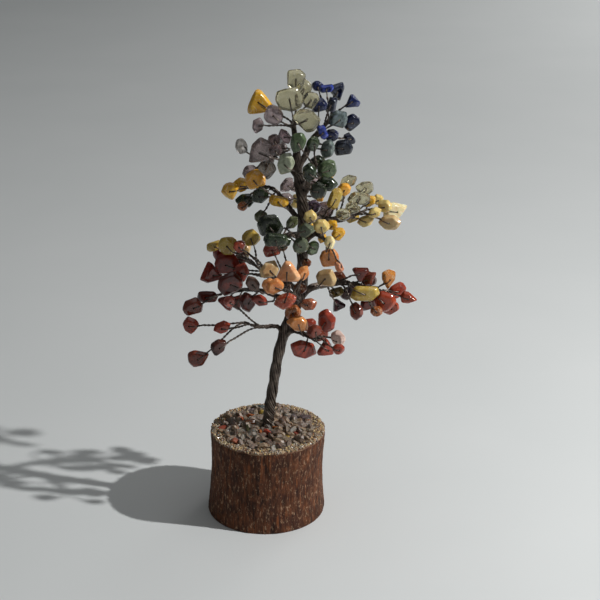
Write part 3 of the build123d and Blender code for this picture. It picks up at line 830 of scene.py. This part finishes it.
# How a strand's wires lie: proud of the solid, lower and closer beside its middle one, round a thinner core
STRAND_PROUD = 0.12
STRAND_ARCH = 0.25
STRAND_CLOSING = 0.12
CORE_INSET = 0.9

# How a trunk wire wanders: noise per wire and per point, in and out in millimetres, sideways in wire places
WANDER_PER_WIRE = 7.3
WANDER_PER_POINT = 0.04
WANDER_DEPTH = 0.15
WANDER_SIDEWAYS = 0.3


def trunk_strands():
    """The trunk: broad strands of wires side by side, wound left-handed round a core, steeper higher up."""
    centres = [Vector((x, 0, LOG_HEIGHT + height)) * MM for x, height, size in TRUNK]
    centres[0].z -= TRUNK_SINK * MM
    line = smooth_line(centres, TRUNK_STEP * MM)
    sides = directions_along(line)
    heights = [point.z / MM - LOG_HEIGHT for point in line]
    radii = [trunk_at(max(0.0, min(TRUNK_TOP, height)))[1] for height in heights]
    turns = [0.0]
    for height in heights[1:]:
        rise = min(1.0, max(0.0, (height - TWIST_FROM) / TWIST_OVER))
        pitch = FOOT_PITCH + (TRUNK_PITCH - FOOT_PITCH) * rise
        turns.append(turns[-1] - TRUNK_STEP * 2 * math.pi / pitch)
    count = TRUNK_STRANDS * STRAND_WIRES
    wires = []
    for number in range(count):
        off_middle = (number % STRAND_WIRES) / (STRAND_WIRES - 1) * 2 - 1
        level = STRAND_PROUD - TRUNK_WIRE / 2 - STRAND_ARCH * off_middle**2
        wire = []
        for place, (point, (across, beside)) in enumerate(zip(line, sides)):
            wander = noise.noise(Vector((number * WANDER_PER_WIRE, place * WANDER_PER_POINT, 0.0)))
            radius = radii[place] + level + WANDER_DEPTH * wander
            drift = number - STRAND_CLOSING * off_middle + WANDER_SIDEWAYS * wander
            angle = turns[place] + drift * 2 * math.pi / count
            wire.append(point + turned(across, beside, angle) * radius * MM)
        wires.append(wire)
    core = [(*point, 2 * (radius - CORE_INSET) / TRUNK_WIRE) for point, radius in zip(line, radii)]
    piece = wire_mesh("trunk_strands", wires + [core], TRUNK_WIRE)
    finished(piece, WIRE_FINISH, "base", "wire", "trunk")


def log_radius(height):
    """Radius of the waisted log at a height, in millimetres."""
    share = height / LOG_HEIGHT
    straight = LOG_FOOT_RADIUS + (LOG_TOP_RADIUS - LOG_FOOT_RADIUS) * share
    sag = (LOG_FOOT_RADIUS + LOG_TOP_RADIUS) / 2 - LOG_WAIST_RADIUS
    return straight - sag * (1 - (2 * share - 1) ** 2)


# Bark relief: height and width in millimetres, how far it is drawn out upright, and the noise's own settings
BARK_FORMS = [
    {"height": 0.3, "width": 2.6, "upright": 0.16, "noise": (0.8, 2.1, 4)},
    {"height": 0.12, "width": 1.1, "upright": 0.5, "noise": (0.9, 2.0, 2)},
]

# The log's mesh, and its ends: worn in over these heights at the top and the foot, and this deep
LOG_SIDES = 220
LOG_STEPS = 56
TOP_WEAR = 1.2
FOOT_WEAR = 0.8
WEAR_DEPTH = 0.35
WOOD_CREASE = 50


def bark_relief(point):
    """How far the bark stands out at a point: upright ridges and small flakes, in millimetres."""
    relief = 0.0
    for form in BARK_FORMS:
        place = Vector((point.x, point.y, point.z * form["upright"])) / MM / form["width"]
        relief += form["height"] * noise.fractal(place, *form["noise"])
    return relief


def bark_log():
    """The log: a ring pulled up in small steps over the waist, closed below, its bark raised in ridges."""
    log = added(
        bpy.ops.mesh.primitive_circle_add, vertices=LOG_SIDES, radius=LOG_FOOT_RADIUS * MM, fill_type="NGON")
    edit_all(log)
    for step in range(LOG_STEPS):
        low, high = LOG_HEIGHT * step / LOG_STEPS, LOG_HEIGHT * (step + 1) / LOG_STEPS
        bpy.ops.mesh.extrude_region_move(TRANSFORM_OT_translate={"value": (0, 0, (high - low) * MM)})
        widen = log_radius(high) / log_radius(low)
        bpy.ops.transform.resize(value=(widen, widen, 1), center_override=(0, 0, high * MM))
    bpy.ops.mesh.select_all(action="SELECT")
    bpy.ops.mesh.normals_make_consistent(inside=False)
    bpy.ops.object.mode_set(mode="OBJECT")
    for corner in log.data.vertices:
        height = corner.co.z / MM
        out = Vector((corner.co.x, corner.co.y, 0)).normalized()
        whole = min(1.0, (LOG_HEIGHT - height) / TOP_WEAR, height / FOOT_WEAR)
        corner.co += out * (bark_relief(corner.co) * whole - WEAR_DEPTH * (1 - whole)) * MM
        corner.co.x -= LOG_LEAN * (1 - height / LOG_HEIGHT) * MM
    piece = joined([log], "bark_log")
    bpy.ops.object.shade_smooth_by_angle(angle=math.radians(WOOD_CREASE))
    finished(piece, BARK, "base", "bark_wood", "wood_log")


def ringed_disc(sides, radius, bottom, thickness, rings):
    """A disc in millimetres, pulled up to its thickness, with its top inset ring by ring."""
    disc = added(
        bpy.ops.mesh.primitive_circle_add, vertices=sides, radius=radius * MM, fill_type="NGON",
        location=(0, 0, bottom * MM))
    pick(disc)
    bpy.ops.object.transform_apply(location=True)
    edit_all(disc)
    bpy.ops.mesh.extrude_region_move(TRANSFORM_OT_translate={"value": (0, 0, thickness * MM)})
    for width in rings:
        bpy.ops.mesh.inset(thickness=width * MM)
    bpy.ops.mesh.select_all(action="SELECT")
    bpy.ops.mesh.normals_make_consistent(inside=False)
    bpy.ops.object.mode_set(mode="OBJECT")
    return disc


# Sawn top: its mesh, set in from the bark, its roughness, and its rim rounded off over a width by a slope
DISC_SIDES = 160
DISC_RINGS = (0.35, 0.6, 0.8, 0.8, 0.8, 1.2)
DISC_THICKNESS = 0.6
DISC_SET_IN = 0.25
DISC_RISE = 0.1
GRAIN_HEIGHT = 0.14
GRAIN_WIDTH = 1.3
RIM_WIDTH = 0.6
RIM_SLOPE = 0.5


def end_grain_disc():
    """The sawn top of the log: a slightly rough disc whose rim shows round the gravel."""
    bottom = LOG_HEIGHT - DISC_THICKNESS
    disc = ringed_disc(DISC_SIDES, LOG_TOP_RADIUS - DISC_SET_IN, bottom, DISC_THICKNESS, DISC_RINGS)
    for corner in disc.data.vertices:
        if corner.co.z > (LOG_HEIGHT - DISC_THICKNESS / 2) * MM:
            away = math.hypot(corner.co.x, corner.co.y) / MM
            rounding = max(0.0, away - LOG_TOP_RADIUS + RIM_WIDTH)
            grain = GRAIN_HEIGHT * noise.noise(corner.co / MM / GRAIN_WIDTH)
            corner.co.z += (grain + DISC_RISE - RIM_SLOPE * rounding) * MM
    piece = joined([disc], "end_grain_disc")
    bpy.ops.object.shade_smooth_by_angle(angle=math.radians(WOOD_CREASE))
    finished(piece, END_GRAIN, "base", "bark_wood")


# Glue: its mesh, sunk into the sawn top, and its edge, which is this wide and wanders
BED_SIDES = 120
BED_RINGS = (0.5, 0.7, 0.8) + (1.0,) * 17
BED_SINK = 0.2
BED_THICKNESS = 0.35
EDGE_WIDTH = 0.1
EDGE_WANDER = 0.7
EDGE_WAVE = 2.5

# Its top: a dome that falls off at the edge, a mound round the trunk, and lumps
DOME_HEIGHT = 0.25
DOME_FALL = 2.0
MOUND_HEIGHT = 1.2
MOUND_RADIUS = 9.0
LUMP_HEIGHT = 0.3
LUMP_WIDTH = 2.2
LUMP_NOISE = (0.9, 2.0, 3)


def glue_bed():
    """The glue: a lumpy film that climbs round the gravel and the trunk's foot, with a ragged edge."""
    bed = ringed_disc(BED_SIDES, BED_RADIUS, LOG_HEIGHT - BED_SINK, BED_THICKNESS, BED_RINGS)
    for corner in bed.data.vertices:
        away = math.hypot(corner.co.x, corner.co.y) / MM
        out = Vector((corner.co.x, corner.co.y, 0)).normalized()
        if away > BED_RADIUS - EDGE_WIDTH:
            corner.co += out * EDGE_WANDER * noise.noise(corner.co / MM / EDGE_WAVE) * MM
        if corner.co.z > LOG_HEIGHT * MM:
            dome = min(1.0, (BED_RADIUS - away) / DOME_FALL)
            mound = max(0.0, 1 - away / MOUND_RADIUS)
            lumps = noise.fractal(corner.co / MM / LUMP_WIDTH, *LUMP_NOISE)
            corner.co.z += (DOME_HEIGHT * dome + MOUND_HEIGHT * mound + LUMP_HEIGHT * lumps * dome) * MM
    piece = joined([bed], "glue_bed")
    bpy.ops.object.shade_smooth()
    finished(piece, GLUE, "base", "resin", "resin_bed")


# Chippings: kinds, cut corners and knocks as shares of the block, and noise per block and per kind
CHIPPING_KINDS = 5
CHIPPING_SEED = 3
CHIPPING_CUT = 0.24
CHIPPING_KNOCK = 0.22
KNOCKS_PER_BLOCK = 1.3
KNOCKS_PER_KIND = 9.1


def chipping(number):
    """One crushed chipping, a block with cut corners knocked out of square."""
    stone = added(bpy.ops.mesh.primitive_cube_add, size=1.0)
    edit_all(stone)
    bpy.ops.mesh.bevel(offset=CHIPPING_CUT, segments=1, affect="EDGES")
    bpy.ops.object.mode_set(mode="OBJECT")
    for corner in stone.data.vertices:
        place = corner.co * KNOCKS_PER_BLOCK + Vector((number * KNOCKS_PER_KIND, 0, 0))
        corner.co += noise.noise_vector(place) * CHIPPING_KNOCK
    return stone


# Gravel: how often each stone is drawn and its tones
GRAVEL = {
    "quartz": (0.84, [
        "smoky", "dusty", "tan_grey", "ash", "straw", "dusty", "grey_brown", "ash", "dusty", "straw"]),
    "amethyst": (0.09, ["amethyst", "dark_amethyst", "slate_blue", "amethyst", "smoky"]),
    "jasper": (0.07, ["brown_red", "olive_yellow", "tan_red", "olive_green", "red", "orange_brown"]),
}
GRAVEL_COUNT = 240
GRAVEL_SEED = 11
GRAVEL_CREASE = 25

# Its ring round the trunk, and how loosely it lies on a sunflower spiral
GRAVEL_INNER = 3.0
GRAVEL_REACH = 19.8
GOLDEN_ANGLE = math.radians(137.508)
REACH_PLAY = 0.7
ANGLE_PLAY = 0.08
RANDOM_TURN = 6.28

# Its lengths in millimetres, and its widths and heights as shares of them
GRAVEL_LENGTHS = (3.0, 5.8)
GRAVEL_WIDTHS = (0.6, 0.9)
GRAVEL_HEIGHTS = (0.35, 0.5)

# How it is heaped: sunk in the glue, lifted by its size, every third one raised, and higher towards the trunk
GRAVEL_SINK = 0.9
GRAVEL_LIFT = 0.12
RAISED_EVERY = 3
RAISED_BY = 0.4
HEAP_RADIUS = 15.0
HEAP_HEIGHT = 1.6

# Crumbs: number, sizes, shape and tones
CRUMB_COUNT = 1500
CRUMB_SEED = 5
CRUMB_SIZES = (0.5, 1.1)
CRUMB_WIDTH = 0.8
CRUMB_HEIGHT = 0.7
CRUMB_TONES = ["tan_grey", "tan", "straw", "grey_brown", "straw", "smoky"]

# Where crumbs lie: in from the rim, thinning inwards, and lifted by their size and by the glue
CRUMB_RIM = 0.4
CRUMB_SPREAD = 2.4
CRUMB_LIFT = 0.2
GLUE_SLOPE = 0.12
GLUE_LIFT = 0.4


def set_down(pattern, spot, sizes, draws):
    """A copy of a chipping at a spot, turned at random and stretched to these sizes."""
    copy = linked("chipping", pattern.data.copy())
    angle = draws.uniform(0, RANDOM_TURN)
    axis = Vector((draws.random(), draws.random(), 1)).normalized()
    stretch = Matrix.Diagonal((*[size * MM for size in sizes], 1))
    copy.data.transform(Matrix.Translation(Vector(spot) * MM) @ Matrix.Rotation(angle, 4, axis) @ stretch)
    return copy


def gem_gravel(patterns, draws):
    """The gravel: chippings on a loose sunflower spiral, every third one lying on the others."""
    heaps = {stone: [] for stone in GRAVEL}
    for number in range(GRAVEL_COUNT):
        share = (number + 0.5) / GRAVEL_COUNT
        ring = GRAVEL_INNER**2 + share * (GRAVEL_REACH**2 - GRAVEL_INNER**2)
        reach = math.sqrt(ring) + draws.uniform(-REACH_PLAY, REACH_PLAY)
        angle = number * GOLDEN_ANGLE + draws.uniform(-ANGLE_PLAY, ANGLE_PLAY)
        size = draws.uniform(*GRAVEL_LENGTHS)
        raised = RAISED_BY if number % RAISED_EVERY == 0 and reach < HEAP_RADIUS else 0.0
        heap = HEAP_HEIGHT * max(0.0, 1 - reach / HEAP_RADIUS)
        height = BED_TOP - GRAVEL_SINK + GRAVEL_LIFT * size + raised + heap
        spot = (reach * math.cos(angle), reach * math.sin(angle), height)
        sizes = (size, size * draws.uniform(*GRAVEL_WIDTHS), size * draws.uniform(*GRAVEL_HEIGHTS))
        chance = draws.random()
        stone = "quartz" if chance < GRAVEL["quartz"][0] else "amethyst"
        if chance > 1 - GRAVEL["jasper"][0]:
            stone = "jasper"
        copy = set_down(patterns[number % len(patterns)], spot, sizes, draws)
        paint(copy, TONES[draws.choice(GRAVEL[stone][1])])
        heaps[stone].append(copy)
    for stone, stones in heaps.items():
        piece = joined(stones, stone + "_gravel")
        bpy.ops.object.shade_smooth_by_angle(angle=math.radians(GRAVEL_CREASE))
        material = CRUSHED_QUARTZ if stone == "quartz" else STONES[stone]
        finished(piece, material, "base", stone, "gravel_" + stone)


def rim_crumbs(patterns, draws):
    """Crumbs of stone and sawdust caught in the glue along the sawn rim."""
    crumbs = []
    for number in range(CRUMB_COUNT):
        angle = draws.uniform(0, 2 * math.pi)
        inward = abs(draws.gauss(0, CRUMB_SPREAD))
        reach = LOG_TOP_RADIUS - CRUMB_RIM - inward
        size = draws.uniform(*CRUMB_SIZES)
        height = LOG_HEIGHT + min(GLUE_LIFT, GLUE_SLOPE * inward) + CRUMB_LIFT * size
        spot = (reach * math.cos(angle), reach * math.sin(angle), height)
        sizes = (size, size * CRUMB_WIDTH, size * CRUMB_HEIGHT)
        copy = set_down(patterns[number % len(patterns)], spot, sizes, draws)
        paint(copy, TONES[draws.choice(CRUMB_TONES)])
        crumbs.append(copy)
    piece = joined(crumbs, "rim_crumbs")
    finished(piece, CITRINE, "base", "resin")


# The floor's width in metres, and the lamps: aim, way towards the lamp, distance and size in metres, power
FLOOR_SIZE = 12.0
LAMPS = {
    "key": ((0, 0, 0.06), (0.77, -0.19, 0.61), 0.95, 0.02, 8.9),
    "top": ((0, 0, 0.06), (0.15, 0.1, 1.0), 1.5, 1.4, 3.6),
    "far": ((0.75, 1.1, 0), (0, 0, 1), 0.6, 0.5, 4.2),
}

# The camera: place in metres and pitch from straight down in degrees
VIEWER_PLACE = (0.014, -0.626, 0.350)
VIEWER_PITCH = 68.1


def stage_and_light():
    """A pale floor, a small key from the right, soft light above and on the far floor, and the camera."""
    floor = added(bpy.ops.mesh.primitive_plane_add, size=FLOOR_SIZE)
    floor.name = "floor"
    floor.data.materials.append(pale_board())

    world = bpy.data.worlds.new("studio")
    bpy.context.scene.world = world
    world.use_nodes = True
    sky = world.node_tree.nodes["Background"]
    sky.inputs["Color"].default_value = linear("#dfe4e6")
    sky.inputs["Strength"].default_value = 0.13

    for name, (aim, way, distance, size, power) in LAMPS.items():
        lamp = bpy.data.lights.new(name, "AREA")
        lamp.size = size
        lamp.energy = power
        stand = linked(name, lamp)
        stand.location = Vector(aim) + Vector(way).normalized() * distance
        stand.rotation_euler = Vector(way).to_track_quat("Z", "Y").to_euler()

    lens = bpy.data.cameras.new("viewer")
    lens.lens = 96.0
    lens.sensor_width = 36.0
    viewer = linked("viewer", lens)
    viewer.location = VIEWER_PLACE
    viewer.rotation_euler = (math.radians(VIEWER_PITCH), 0, 0)
    bpy.context.scene.camera = viewer
    bpy.context.scene.view_settings.view_transform = "Standard"


stage_and_light()
bark_log()
end_grain_disc()
glue_bed()
# Without a seed of its own noise_vector would start from the clock
noise.seed_set(CHIPPING_SEED)
chippings = [chipping(number) for number in range(CHIPPING_KINDS)]
gem_gravel(chippings, random.Random(GRAVEL_SEED))
rim_crumbs(chippings, random.Random(CRUMB_SEED))
for pattern in chippings:
    bpy.data.objects.remove(pattern)
trunk_strands()
inner_wires = []
for limb_name in LIMBS:
    limb_twigs = twigs_of(limb_name)
    for chip_node in CHIPS:
        chip_limb, chip_stone = chip_node.rsplit("_", 1)
        if chip_limb == limb_name:
            tumbled_chips(limb_name, chip_stone, limb_twigs)
    inner_wires += limb_wires(limb_name, limb_twigs)
limb_roots = wire_mesh("limb_roots", inner_wires, INNER_WIRE)
finished(limb_roots, WIRE_FINISH, "base", "wire")
